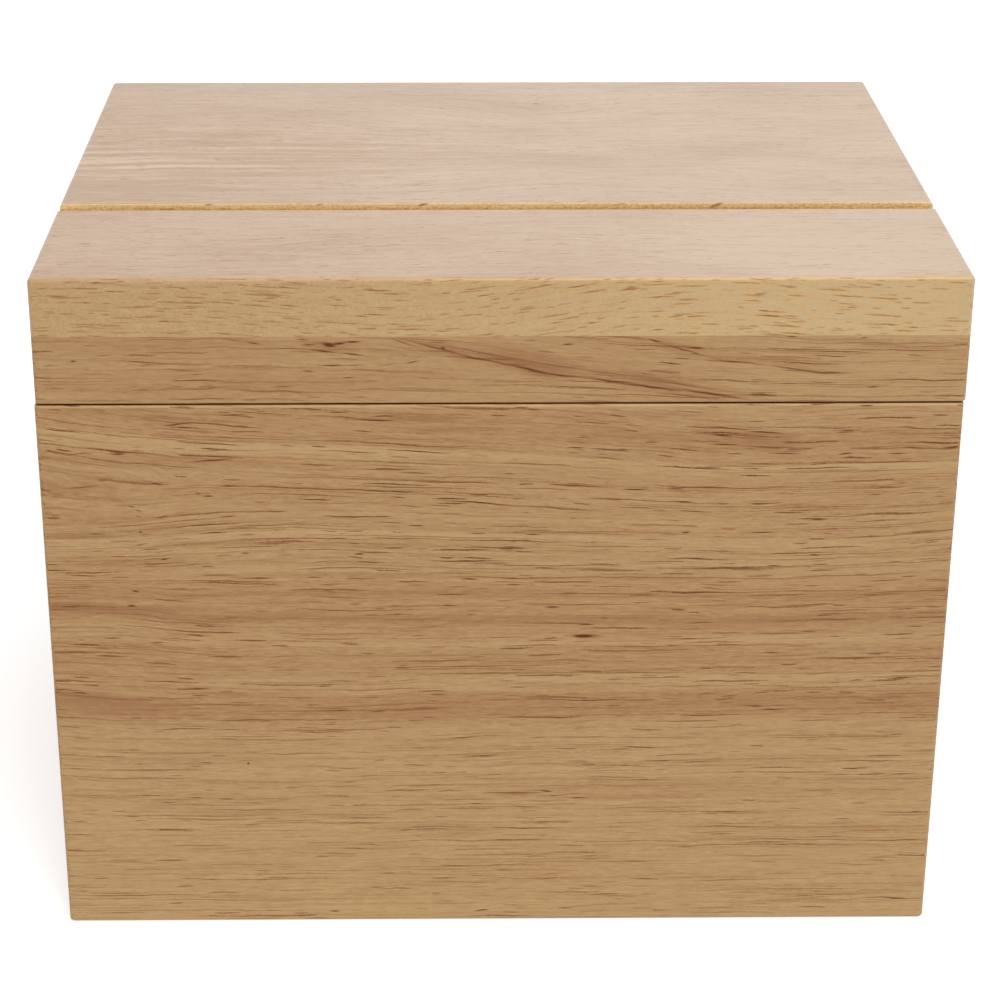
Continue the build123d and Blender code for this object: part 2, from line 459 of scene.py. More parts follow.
# How four of its grain lines run, and a straight one under them: height at the middle of the panel,
# then x and how much higher the line is there. None of them strays by more than LINE_REACH.
LINE_REACH = 8.0
FRONT_LINES = (
    (20.0, ((-89, 0), (89, 0))),
    (48.4, ((-89, 0.5), (-60, -0.8), (-20, -0.5), (0, 0), (50, 0.5), (89, 1.0))),
    (70.3, ((-89, 2.2), (-75, 2.0), (-60, 0.6), (-50, 0.3), (0, 0), (50, 0), (89, 0.6))),
    (
        89.6,
        ((-89, -1.2), (-71, -0.9), (-60, 0.3), (-50, 0.9), (-30, 0.9))
        + ((0, 0), (30, -0.9), (55, -1.4), (89, 0.4)),
    ),
    (
        106.0,
        ((-89, 6.1), (-72, 3.9), (-50, 2.2), (-25, 1.1))
        + ((0, 0), (28, -2.0), (50, -3.3), (70, -2.8), (89, -2.6)),
    ),
)

# Where the lines curl, at the left: place, reach and strength.
FRONT_CURL = ((-71, 86), (5, 12), 1.0)

# Soft brown shades and pale gleams of the front panel: x and z of both ends, thickness, strength.
# The last 19 shades and the last 10 gleams lessen differences in tone that were measured between
# the photo and a render.
FRONT_SHADES = (
    (-96, 73.4, -70, 72.8, 2.4, 1.0),
    (-98, 54.0, -60, 51.0, 7.0, 0.5),
    (-96, 98.5, -68, 98.5, 5.0, 0.35),
    (-92, 88.0, -72, 88.4, 1.6, 0.6),
    (-76, 99.0, -72, 93.0, 2.4, 0.3),
    (-75, 92.5, -71, 88.0, 2.4, 0.3),
    (-24, 112.9, -6, 112.7, 1.8, 0.5),
    (34, 111.5, 64, 105.5, 6.0, 0.5),
    (-2, 110.5, 46, 108.0, 3.0, 0.3),
    (32, 99.0, 38, 96.3, 1.8, 0.5),
    (-4, 30.2, 10, 30.1, 1.4, 0.6),
    (12, 29.0, 50, 29.6, 2.2, 0.35),
    (-16, 21.5, 0, 20.5, 3.0, 0.25),
    (24, 66.4, 34, 66.0, 1.6, 0.35),
    (-62, 80.0, 8, 79.6, 2.2, 0.45),
    (-60, 76.2, 32, 75.9, 2.2, 0.4),
    (-90, 72.6, -48, 72.4, 2.2, 0.6),
    (-94, 57.2, -52, 56.4, 2.4, 0.45),
    (-90, 55.2, -50, 54.4, 2.4, 0.45),
    (-84, 53.6, -20, 53.0, 2.2, 0.45),
    (-4, 54.8, 32, 54.8, 2.2, 0.45),
    (-98, 81.5, -50, 82.5, 6.0, 0.45),
    (-94, 92.5, -62, 91.0, 6.0, 0.35),
    (-98, 104.6, -16, 103.6, 4.5, 0.4),
    (-30, 104.4, 4, 103.8, 2.4, 0.3),
    (-28, 110.6, 4, 110.2, 2.0, 0.5),
    (-4, 113.8, 58, 113.2, 2.6, 0.4),
    (-98, 86.6, 50, 86.2, 2.8, 0.4),
    (-4, 78.9, 60, 78.6, 2.4, 0.35),
    (-98, 75.1, -48, 74.8, 2.0, 0.4),
    (-98, 38.6, -24, 38.4, 3.0, 0.3),
    (-4, 32.0, 70, 32.4, 7.0, 0.3),
    (-30, 22.4, 6, 22.2, 3.4, 0.35),
)
FRONT_GLEAMS = (
    (-48, 2.0, -38, 12.0, 4.0, 0.6),
    (-42, 10.5, -20, 16.5, 3.6, 0.6),
    (-24, 15.0, 4, 20.5, 3.4, 0.5),
    (-45, 4.0, -26, 11.0, 6.0, 0.5),
    (48, 81.0, 92, 82.5, 4.0, 0.5),
    (30, 65.5, 92, 65.5, 3.0, 0.4),
    (60, 37.5, 92, 38.0, 3.0, 0.4),
    (-92, 58.6, -60, 57.2, 1.2, 0.7),
    (50, 8.0, 92, 6.0, 6.0, 0.4),
    (-60, 90.1, -20, 90.0, 2.4, 0.9),
    (-8, 81.7, 98, 81.2, 2.4, 0.7),
    (44, 71.5, 98, 71.8, 4.0, 0.7),
    (-60, 69.3, -20, 69.0, 2.4, 0.9),
    (48, 38.0, 98, 38.2, 2.6, 0.9),
    (-96, 25.6, -46, 25.2, 3.0, 0.8),
    (-100, 6.5, -48, 6.5, 5.0, 0.7),
    (52, 5.8, 100, 5.6, 4.0, 0.6),
    (-30, 97.4, 5, 97.2, 2.4, 0.7),
    (-2, 106.6, 32, 106.6, 2.0, 0.7),
)

# The front panel's larger pores, listed one by one.
FRONT_STREAKS = (
    (-66, 111.3, -59, 112.2, 0.5, 0.9),
    (-55, 113.4, -46.8, 113.8, 0.4, 0.7),
    (-30, 112.9, -18, 112.2, 0.5, 1.0),
    (-25.5, 113.4, -19.5, 113.5, 0.4, 0.9),
    (-29.3, 110.5, -22.9, 110.0, 0.4, 0.8),
    (-34, 108.3, -24.6, 108.3, 0.4, 0.5),
    (-64.6, 106.2, -39, 106.4, 0.4, 0.5),
    (-62, 103.7, -49, 104.8, 0.5, 0.8),
    (-84.5, 105.2, -77, 106.1, 0.4, 0.7),
    (-76, 105.8, -71, 105.6, 0.5, 0.9),
    (-31, 102.4, -11, 102.2, 0.35, 0.8),
    (-21, 101.7, -11.5, 101.4, 0.4, 0.8),
    (-68, 99.6, -65, 99.3, 0.4, 0.9),
    (-72.6, 94.9, -70.2, 94.3, 0.45, 0.8),
    (-71.2, 94.0, -69.0, 93.4, 0.45, 0.7),
    (-71.0, 92.6, -69.2, 92.2, 0.4, 0.6),
    (-70.4, 89.2, -69.4, 88.9, 0.6, 0.9),
    (-71.6, 86.3, -69.0, 86.6, 0.4, 0.7),
    (-54, 98.9, -49.8, 98.9, 0.4, 1.0),
    (-85.7, 98.3, -76, 99.2, 0.4, 0.7),
    (-30, 98.2, -12, 97.2, 0.45, 1.0),
    (-14.5, 95.9, 6, 94.3, 0.5, 1.0),
    (4, 94.5, 23, 93.1, 0.35, 0.7),
    (-58, 96.7, -55, 96.7, 0.4, 0.9),
    (-66.5, 83.1, -64.6, 83.3, 0.5, 1.0),
    (-50.8, 84.5, -48.5, 84.5, 0.4, 1.0),
    (-23.5, 85.5, -17.9, 85.7, 0.4, 1.0),
    (-28.8, 84.1, -25.9, 84.4, 0.5, 1.0),
    (-17, 82.7, 4.5, 82.7, 0.45, 1.0),
    (-8.2, 78.9, -3.4, 78.6, 0.5, 1.0),
    (-51, 79.1, -43, 79.3, 0.4, 0.8),
    (-72.6, 76.7, -70.4, 76.0, 0.6, 1.0),
    (-73.5, 73.4, -71.3, 72.8, 0.6, 1.0),
    (-70, 65.3, -65.5, 65.0, 0.4, 0.9),
    (39, 111.2, 47, 110.3, 0.4, 0.9),
    (46, 110.1, 56, 109.3, 0.45, 1.0),
    (40, 109.3, 45.6, 108.7, 0.5, 1.0),
    (39.7, 107.4, 47, 107.0, 0.5, 1.0),
    (45, 107.0, 58.3, 106.4, 0.4, 0.8),
    (53.4, 107.8, 58.2, 107.6, 0.4, 1.0),
    (51, 105.4, 59.4, 105.0, 0.4, 1.0),
    (64.7, 105.0, 68.8, 105.5, 0.4, 1.0),
    (74, 105.1, 79.6, 105.2, 0.4, 1.0),
    (64, 110.2, 70, 110.1, 0.4, 0.9),
    (12.2, 106.7, 17.3, 106.6, 0.4, 1.0),
    (22.2, 106.3, 25.6, 106.1, 0.4, 0.8),
    (16.7, 104.9, 25, 104.0, 0.4, 0.7),
    (60, 101.0, 89, 102.3, 0.3, 0.6),
    (9, 99.1, 24, 98.0, 0.45, 0.8),
    (22.5, 98.0, 30, 97.8, 0.45, 1.0),
    (32, 98.1, 36.2, 98.0, 0.45, 0.9),
    (34, 95.2, 38, 95.2, 0.45, 1.0),
    (48.3, 94.7, 52.6, 94.7, 0.5, 0.8),
    (59.5, 91.1, 64.9, 91.2, 0.45, 1.0),
    (9, 88.8, 32, 88.7, 0.5, 0.5),
    (35.4, 88.7, 37.6, 88.7, 0.5, 1.0),
    (47.6, 88.5, 55, 88.7, 0.5, 0.9),
    (0, 85.8, 5.4, 85.6, 0.45, 0.8),
    (5.6, 81.0, 12.3, 81.2, 0.4, 0.9),
    (60.4, 83.8, 63.4, 83.7, 0.5, 1.0),
    (8.4, 72.5, 12.8, 72.6, 0.55, 1.0),
    (12.2, 66.4, 22.5, 66.0, 1.3, 0.75),
    (14.0, 66.3, 19.8, 66.1, 1.0, 1.6),
    (48, 66.6, 64, 66.4, 0.4, 0.8),
    (51.3, 62.3, 58.2, 62.2, 0.45, 0.8),
    (48.5, 50.4, 54.5, 50.2, 0.5, 0.9),
    (52, 49.5, 58, 49.4, 0.5, 0.9),
    (-61, 47.6, -43, 47.4, 0.35, 0.8),
    (-11, 43.1, -3, 43.6, 0.4, 0.8),
    (-51, 37.6, -50.2, 37.5, 0.7, 1.0),
    (8.2, 30.8, 11.8, 30.6, 0.45, 1.0),
    (14.2, 29.1, 19, 29.2, 0.4, 1.0),
    (24, 14.2, 33, 14.2, 0.35, 0.7),
    (-35.2, 2.4, -32.3, 2.4, 0.5, 1.0),
    (-5.4, 2.2, -1.0, 2.5, 0.5, 1.0),
)

# Its softer strokes: length, thickness, what share of them shows, and a seed.
FRONT_STROKES = (
    (44.0, 0.42, 0.6, 5.0),
    (22.0, 0.42, 0.55, 23.0),
    (11.0, 0.44, 0.4, 61.0),
)


def curve(sheet, value, points, low, high):
    """A smooth line through (value, result) points. All the results lie between low and high."""
    node = sheet.nodes.new("ShaderNodeFloatCurve")
    first, last = points[0][0], points[-1][0]
    line = node.mapping.curves[0]
    while len(line.points) < len(points):
        line.points.new(0.5, 0.5)
    for point, (at, result) in zip(line.points, points):
        point.location = ((at - first) / (last - first), (result - low) / (high - low))
    node.mapping.update()
    sheet.feed(node.inputs["Value"], (value - first) / (last - first))
    return Wire(sheet, node.outputs[0]) * (high - low) + low


def front_flow(sheet, u, v):
    """The height at which the grain line through a point crosses the middle of the front panel."""
    lift = 0.0
    below = None
    for height, points in FRONT_LINES:
        shift = curve(sheet, u, points, -LINE_REACH, LINE_REACH)
        if below is None:
            lift = shift
        else:
            share = sheet.step(v, below, height)
            lift = lift * (1.0 - share) + shift * share
        below = height
    curl = swell(sheet, u, v, *FRONT_CURL)
    lift = lift + curl * sheet.noise((u, v, 0.0), (3, 3, 1), detail=1.0) * 0.3
    return v - lift


def front_panel_wood():
    """The front panel, with the photo's bands and shades and its larger pores."""
    sheet = Sheet("front_panel_wood")
    x, y, z = sheet.place()
    u, v, w = x, z, y

    s = front_flow(sheet, u, v) + waver(sheet, u, v, w) * 0.35
    stops = [(height / BAND_SPAN, (tone, tone, tone, 1)) for height, tone in FRONT_BANDS]
    band = sheet.split(sheet.ramp(s / BAND_SPAN, stops))[0]
    lines = grain_lines(sheet, u, s, w, 1.3)
    cloud = sheet.noise((u, s, w), (45, 9, 9))
    shade = streaks(sheet, u, v, FRONT_SHADES)
    gleam = streaks(sheet, u, v, FRONT_GLEAMS)
    tone = band + lines * 0.33 + cloud * 0.12 + fibres(sheet, u, s, w) * 0.42
    tone = tone + gleam * 0.35 - shade * 0.6
    colour = paint_seam_shade_and_highlight(sheet, tone_colour(sheet, tone, BODY_TONES), y, z)

    stray = ripple(sheet, u, v, w)
    brown, dark, open_pore = pores(sheet, u, s + stray, w, seed=0.0)
    drawn = streaks(sheet, u, v + stray, FRONT_STREAKS)
    ragged = ragged_edge(sheet, u, s, w) * 0.12
    soft = 0.0
    for size in FRONT_STROKES:
        soft = soft + marks(sheet, u, s + stray, w, size, 0.35, 2.0, ragged)
    # The lower half's pores are paler.
    brown = brown * sheet.step(s, 40, 52, 0.68, 1.0) + soft * 0.32 + drawn * 1.2 + shade * 0.35
    dark = dark * sheet.step(s, 40, 105, 0.5, 0.95)
    dark = dark + sheet.clamp(drawn * 1.8 - 0.5) * sheet.step(s, 50, 105, 0.7, 0.9)
    return finish_wood(sheet, colour, brown, dark, open_pore)


BOARD_SEED_STEP = 37.0  # mm along the grain between two boards' cuts of wood


def board_wood(name, grain, seed, tone=0.5):
    """An upright board with no marks of its own. grain is the axis it runs along, x or y."""
    sheet = Sheet(name)
    x, y, z = sheet.place()
    u, v, w = (x, z, y) if grain == "x" else (y, z, x)
    u = u + seed * BOARD_SEED_STEP
    s = v + sheet.noise((u, v, w), (60, 22, 22), detail=1.0) * 3.5
    s = s + waver(sheet, u, v, w) * 0.5
    bands = sheet.noise((u, s + seed * 7, w), (300, 7, 12))
    lines = grain_lines(sheet, u, s, w, 1.6)
    cloud = sheet.noise((u, s, w), (45, 9, 9))
    shade = tone + bands * 0.4 + lines * 0.32 + cloud * 0.22 + fibres(sheet, u, s, w) * 0.2
    colour = tone_colour(sheet, shade, BODY_TONES)
    end = abs(sheet.facing()[0 if grain == "x" else 1])
    colour = sheet.mix(sheet.step(end, 0.6, 0.95, 0.0, 0.35), colour, PORE_BROWN)
    brown, dark, open_pore = pores(sheet, u, s + ripple(sheet, u, v, w), w, seed)
    return finish_wood(sheet, colour, brown, dark, open_pore)


# Soft brown shades of the lid's front rail, then its dark streaks: x and z of both ends, thickness,
# strength. The ends of the 13th to the 27th streak were picked in the photo as pixels and turned
# into millimetres by a script, and nine of those streaks were then changed a little by hand.
RAIL_SHADES = (
    (-26.0, 131.0, 6.0, 122.8, 5.0, 0.7),
    (-14.0, 128.4, 24.0, 120.4, 7.0, 1.0),
    (6.0, 124.0, 56.0, 115.6, 6.0, 0.9),
    (20.0, 130.4, 48.0, 123.4, 3.0, 0.6),
    (34.0, 126.4, 74.0, 121.2, 3.4, 0.7),
    (50.0, 130.2, 98.0, 124.8, 3.0, 0.55),
    (-42.0, 128.6, -22.0, 127.4, 3.6, 0.8),
    (-30.0, 127.6, -15.0, 125.6, 1.8, 0.5),
    (-60.0, 130.4, -40.0, 127.6, 2.0, 0.4),
)
RAIL_STREAKS = (
    (-20.0, 129.4, -3.0, 124.6, 0.6, 0.8),
    (-12.0, 126.9, 5.5, 122.7, 0.6, 0.9),
    (-14.0, 128.5, 8.0, 123.8, 0.35, 0.7),
    (2.0, 124.8, 22.0, 122.0, 0.35, 0.7),
    (10.0, 123.6, 34.0, 120.1, 0.35, 0.7),
    (20.0, 121.8, 46.0, 117.8, 0.35, 0.7),
    (-2.0, 124.4, 14.0, 121.0, 0.8, 1.0),
    (3.0, 122.7, 20.0, 120.6, 0.6, 1.0),
    (12.0, 121.4, 30.0, 119.4, 0.6, 1.0),
    (18.0, 120.5, 40.0, 117.8, 0.7, 1.0),
    (30.0, 119.4, 49.0, 116.2, 0.7, 1.0),
    (26.0, 118.6, 44.0, 116.2, 0.4, 0.7),
    (-34.1, 128.1, -30.6, 127.6, 1.1, 1.4),
    (-32.6, 127.9, -28.6, 128.5, 0.9, 1.3),
    (-30.0, 128.6, -25.8, 128.5, 0.6, 1.3),
    (-35.5, 128.3, -29.3, 128.0, 0.7, 1.0),
    (-38.1, 127.9, -34.4, 127.9, 0.5, 0.8),
    (-39.2, 129.2, -35.6, 128.9, 0.5, 0.8),
    (-36.8, 127.3, -30.3, 126.2, 0.5, 1.2),
    (-31.3, 126.3, -24.5, 125.7, 0.5, 1.1),
    (-34.9, 125.2, -23.9, 124.8, 0.4, 0.6),
    (-35.7, 123.7, -28.4, 123.8, 0.45, 0.9),
    (-30.4, 123.8, -25.1, 123.8, 0.4, 0.7),
    (-24.1, 123.6, -18.2, 124.0, 0.35, 0.6),
    (-18.8, 123.9, -14.4, 124.7, 0.5, 0.9),
    (-38.2, 122.4, -35.2, 122.5, 0.4, 0.9),
    (-21.2, 129.2, -15.8, 127.4, 0.5, 0.8),
    (-30.6, 121.2, -27.2, 121.2, 0.4, 0.9),
    (-37.6, 122.4, -34.4, 122.3, 0.4, 0.7),
    (-53.7, 129.2, -48.0, 128.5, 0.4, 0.6),
    (-48.6, 128.6, -44.7, 128.0, 0.45, 1.0),
    (-11.5, 127.3, -10.2, 127.0, 0.7, 1.2),
    (-81.6, 124.8, -80.2, 124.7, 0.6, 1.0),
    (-73.0, 124.9, -62.0, 124.0, 0.4, 1.0),
    (-66.0, 123.2, -54.0, 122.4, 0.3, 0.7),
    (-63.5, 120.7, -48.2, 120.7, 0.35, 0.9),
    (-43.6, 119.5, -38.6, 119.4, 0.4, 0.8),
    (11.2, 127.8, 14.3, 127.8, 0.45, 1.0),
    (27.5, 129.1, 31.2, 128.0, 0.6, 1.0),
    (30.0, 128.0, 40.0, 125.0, 0.5, 0.9),
    (35.3, 127.0, 38.8, 126.8, 0.5, 1.2),
    (38.0, 125.3, 52.0, 123.2, 0.45, 0.9),
    (49.0, 123.6, 64.0, 121.9, 0.5, 0.9),
    (56.0, 122.2, 68.0, 121.8, 0.7, 1.0),
    (53.5, 129.4, 57.0, 129.2, 0.5, 0.9),
    (67.9, 128.9, 69.8, 129.2, 0.4, 0.9),
    (69.4, 118.9, 73.0, 118.9, 0.45, 1.0),
)


# How the rail's grain lines fall to the right: half the fall, and the x where it begins and ends.
RAIL_FALL = 2.6
RAIL_FALL_LEFT = -40.0
RAIL_FALL_RIGHT = 75.0


def rail_flow(sheet, u, v):
    """The front rail's grain falls to the right in its middle, and less so near its lower edge."""
    fall = sheet.step(u, RAIL_FALL_LEFT, RAIL_FALL_RIGHT, RAIL_FALL, -RAIL_FALL)
    return v - fall * sheet.step(v, 114, 128, 0.4, 1.0)


def front_rail_wood():
    """The lid's front rail, with its slanting brown shades."""
    sheet = Sheet("front_rail_wood")
    x, y, z = sheet.place()
    u, v, w = x, z, y

    s = rail_flow(sheet, u, v) + waver(sheet, u, v, w) * 0.5
    lines = grain_lines(sheet, u, s, w, 1.6)
    cloud = sheet.noise((u, s, w), (45, 5, 9))
    tone = 0.5 + lines * 0.3 + cloud * 0.3 + fibres(sheet, u, s, w) * 0.32
    tone = tone + sheet.step(u, -HALF_WIDTH, HALF_WIDTH, -0.1, 0.12)
    stray = ripple(sheet, u, v, w)
    shade = streaks(sheet, u, v + stray * 1.5, RAIL_SHADES)
    colour = paint_seam_shade_and_highlight(sheet, tone_colour(sheet, tone - shade * 0.6, BODY_TONES), y, z)

    right = sheet.step(u, -30, 20)
    brown, dark, open_pore = pores(
        sheet, u, s + stray, w, seed=5.0, brown=right * 0.25 + 0.65, dark=right * 0.15 + 0.3
    )
    drawn = streaks(sheet, u, v + stray, RAIL_STREAKS)
    # The shades are drawn in thin veins that slant as they do.
    veins = sheet.noise((u, v + u * 0.19, w), (30, 0.6, 0.6))
    veined = sheet.clamp(shade * 1.2 - 0.2) * sheet.clamp(0.4 + veins * 1.6)
    brown = brown + drawn * 1.1 + veined * 0.6
    dark = dark + sheet.clamp(drawn * 1.5 - 0.55) * 0.8
    return finish_wood(sheet, colour, brown, dark, open_pore)


# The lid's top board: where its grain lines rise or fall, where its face is browner, paler or
# rippled, and where it is lighter in front. Each row: x and y, reach, and rise or strength.
LID_LIFTS = (
    ((-60, 40), (40, 25), 6.0),
    ((10, 45), (22, 20), -7.0),
    ((20, -10), (40, 16), 7.0),
    ((0, -45), (45, 14), 5.0),
)
LID_BROWN_PATCHES = (
    ((-88, 24), (34, 6), 0.4),
    ((-92, -14), (40, 7), 0.5),
)
LID_PALE_PATCHES = (
    ((6, -16), (50, 11), 0.4),
    ((-34, 66), (45, 14), 0.35),
)
LID_RIPPLED = ((-85, 5), (55, 20), 1.0)
LID_LIGHT_CORNER = ((62, -56), (34, 20), 0.35)

# Where the grain of its edges tilts: x and z, reach and slope.
EDGE_TILT = ((10, 135), (40, 20), 0.16)

# Flecks of its edges and spots in its groove: length, thickness, what share of them shows, a seed.
EDGE_FLECKS = (
    (8.0, 0.42, 0.8, 2.0),
    (5.0, 0.4, 0.8, 17.0),
    (2.6, 0.36, 0.6, 41.0),
)
GOLD_FLECKS = (4.5, 0.8, 0.88, 31.0)
WALL_SPOTS = (3.4, 0.9, 0.5, 53.0)
FLECK_LIP = 0.3  # how far a fleck's gold lip shows under it, in mm
SPOT_LEAN = (0.94, 0.34)  # cosine and sine of how the spots in the groove lean

RING_CENTRE = (20.0, 60.0)  # y and z of the middle of the rings on its ends


def lid_face(sheet, u, v, w, lighter):
    """The quiet face. Gives its colour, then how brown, how dark and how deep its pores are."""
    s = v - swells(sheet, u, v, LID_LIFTS)
    s = s + sheet.noise((u, v, w), (30, 12, 8), detail=1.0) * 1.6
    lines = sheet.noise((u, s, w), (18, 1.2, 3), detail=3.0, roughness=0.65)
    cloud = sheet.noise((u, s, w), (40, 16, 9))
    fine = sheet.noise((u, s, w), (1.6, 0.45, 0.45), detail=1.0)
    lively = sheet.step(v, -30, 0, 1.0, 1.3)
    ripples = sheet.noise((u, s, 0.0), (70, 2.0, 1), detail=1.0)
    ripples = ripples * swell(sheet, u, v, *LID_RIPPLED)
    tone = 0.5 + (lines * 0.5 + cloud * 0.4 + fine * 0.3) * lively + ripples * 2.2
    tone = tone + lighter - swells(sheet, u, v, LID_BROWN_PATCHES)
    colour = tone_colour(sheet, tone, LID_FACE_TONES_WITH_PAINTED_SHEEN)
    colour = sheet.mix(swells(sheet, u, v, LID_PALE_PATCHES), colour, LID_FACE_PALE)

    frayed = sheet.noise((u, v, w), (2.5, 1.6, 2)) * 0.5
    browner = sheet.step(u, -70, 60, 0.85, 0.55)
    browner = browner * sheet.step(w, GROOVE_FLOOR - 4.0, GROOVE_FLOOR, 0.5, 1.0)
    return colour, *pores(sheet, u, s + frayed, w, seed=8.0, brown=browner, dark=0.12, run=0.35)


def edge_grain(sheet, u, v, w):
    """The grain on the board's edges and in its groove, where it is cut across its rings.

    Gives the height of a grain line if it ran straight, how ragged it is, its lines and its grit.
    """
    s = w - swell(sheet, u, w, *EDGE_TILT) * (u - EDGE_TILT[0][0])
    ragged = sheet.noise((u, s, v), (1.0, 0.5, 2))
    s = s + ragged * 0.12
    lines = sheet.noise((u, s, v), (14, 1.1, 9), detail=3.0, roughness=0.65)
    grit = sheet.noise((u, s, v), (0.6, 0.4, 0.4), detail=1.0)
    return s, ragged, lines, grit


def lid_edge(sheet, u, v, w, s, tone):
    """The colour of the board's outer edges, and where their brown flecks are.

    A fleck has a gold lip. There are gold flecks low on the right, and the upper eased edge has a
    gold painted highlight.
    """
    flecks = 0.0
    lips = 0.0
    for size in EDGE_FLECKS:
        flecks = flecks + marks(sheet, u, s, v, size, 0.5, 2.2)
        lips = lips + marks(sheet, u, s + FLECK_LIP, v, size, 0.4, 2.2)
    lips = sheet.clamp(lips - flecks) * sheet.step(u, -60, 40, 0.15, 0.5)
    low_right = sheet.step(u, 10, 50) * sheet.step(w, 130, 140, 1.0, 0.3)
    gold = marks(sheet, u, s, v, GOLD_FLECKS, 0.35, 2.5) * low_right
    colour = tone_colour(sheet, tone, LID_EDGE_TONES)
    colour = sheet.mix(sheet.clamp(gold * 0.5 + lips), colour, GOLD_FLECK)
    # Painted highlight along the upper eased edge.
    painted_arris_highlight = sheet.step(w, TOP_FACE - 0.5, TOP_FACE - 0.2)
    painted_arris_highlight = painted_arris_highlight * sheet.step(u, -HALF_WIDTH, 60, 0.1, 0.8)
    return sheet.mix(painted_arris_highlight, colour, LID_ARRIS_PAINTED_HIGHLIGHT), flecks


def groove_wall(sheet, u, v, w, ragged, tone):
    """The groove walls' colour with painted light at the top and shade below, and brown spots."""
    # Painted light and shade: lighter near the top of the wall, darker deep in the groove.
    painted_groove_light = sheet.step(w + ragged * 0.5, TOP_FACE - 2.0, TOP_FACE - 0.3, -0.5, 0.45)
    cosine, sine = SPOT_LEAN
    along = u * cosine + w * sine
    across = w * cosine - u * sine
    spots = marks(sheet, along, across, v, WALL_SPOTS, 0.5, 3.0, ragged * 0.12)
    return tone_colour(sheet, tone + painted_groove_light, GROOVE_WALL_TONES_WITH_PAINTED_LIGHT), spots


def end_grain(sheet, x, y, z):
    """The colour of the board's ends, where the trunk's rings are cut through."""
    back = y - RING_CENTRE[0]
    up = z - RING_CENTRE[1]
    ring = sheet.math("SQRT", back * back + up * up)
    ring = ring + sheet.noise((0.0, y, z), (1, 14, 14), detail=1.0) * 1.5
    lines = sheet.noise((0.0, ring, 0.0), (1, 1.1, 1))
    specks = sheet.noise((x, y, z), (4, 0.5, 0.5), detail=1.0)
    return tone_colour(sheet, 0.25 + lines * 0.3 + specks * 0.25, LID_EDGE_TONES)


def top_board_wood():
    """The lid's top: a quiet face, and flecked edges where the board is cut across its rings."""
    sheet = Sheet("top_board_wood")
    x, y, z = sheet.place()
    lighter = sheet.step(x, -HALF_WIDTH, HALF_WIDTH, -0.25, 0.25)
    lighter = lighter + swell(sheet, x, y, *LID_LIGHT_CORNER)
    face, brown, dark, open_pore = lid_face(sheet, x, y, z, lighter)
    s, ragged, lines, grit = edge_grain(sheet, x, y, z)
    edge, flecks = lid_edge(sheet, x, y, z, s, 0.5 + lines * 0.3 + grit * 0.3 + lighter)
    wall, spots = groove_wall(sheet, x, y, z, ragged, 0.5 + lines * 0.4 + grit * 0.6)

    on_edge = sheet.step(abs(y), HALF_DEPTH - 0.9, HALF_DEPTH - 0.2)
    on_end = sheet.step(abs(sheet.facing()[0]), 0.6, 0.9)
    reach = GROOVE_WIDTH / 2
    in_groove = sheet.step(abs(y - GROOVE_MIDDLE), reach + 0.15, reach + 0.45, 1.0, 0.0)
    in_groove = in_groove * sheet.step(z, TOP_FACE - 0.15, TOP_FACE, 1.0, 0.0)
    in_groove = in_groove * sheet.step(z, GROOVE_FLOOR - 0.3, GROOVE_FLOOR - 0.1)
    colour = sheet.mix(on_edge, face, edge)
    colour = sheet.mix(on_end, colour, end_grain(sheet, x, y, z))
    colour = sheet.mix(in_groove, colour, wall)

    flecked = sheet.clamp(on_edge + in_groove)
    brown = brown * (1.0 - flecked) + flecks * on_edge * 0.65 + spots * in_groove * 0.75
    dark = dark * (1.0 - flecked)
    pore_colour = sheet.mix(flecked, FACE_BROWN, EDGE_BROWN)
    sheet.set(sheen_weight=0.55, sheen_roughness=0.5)
    return finish_wood(sheet, colour, brown, dark, open_pore, pore_colour)


def floor_panel_wood():
    """The veneer of the thin floor panel: paler, with fine straight grain."""
    sheet = Sheet("floor_panel_wood")
    x, y, z = sheet.place()
    s = y + sheet.noise((x, y, 0.0), (60, 22, 1), detail=1.0) * 3.0
    lines = sheet.noise((x, s, z), (80, 1.2, 3), detail=3.0, roughness=0.7)
    cloud = sheet.noise((x, s, z), (40, 12, 9))
    colour = tone_colour(sheet, 0.5 + lines * 0.35 + cloud * 0.3, FLOOR_TONES)
    brown, dark, open_pore = pores(sheet, x, s, z, seed=14.0, brown=0.5, dark=0.25)
    return finish_wood(sheet, colour, brown, dark, open_pore)


# ---- Brass ----

BRASS = srgb(204, 174, 112)
BRASS_WORN = srgb(184, 150, 92)
SCREW_BRASS = srgb(214, 186, 126)
BRASS_RELIEF = 0.004


def brass(name, colour, worn, roughness):
    """Satin brass: faintly brushed along x, a little darker in patches."""
    sheet = Sheet(name)
    x, y, z = sheet.place()
    brushed = sheet.noise((x, y, z), (6, 0.12, 0.12))
    patches = sheet.noise((x, y, z), (3, 3, 3), detail=3.0)
    sheet.set(base_color=sheet.mix(sheet.clamp(0.35 + patches * 0.5), colour, worn))
    sheet.set(metallic=1.0, roughness=roughness + brushed * 0.06 + patches * 0.04)
    sheet.relief(brushed, BRASS_RELIEF)
    return sheet.material


def dress(node_name, material):
    slots = nodes[node_name].data.materials
    slots.clear()
    slots.append(material)


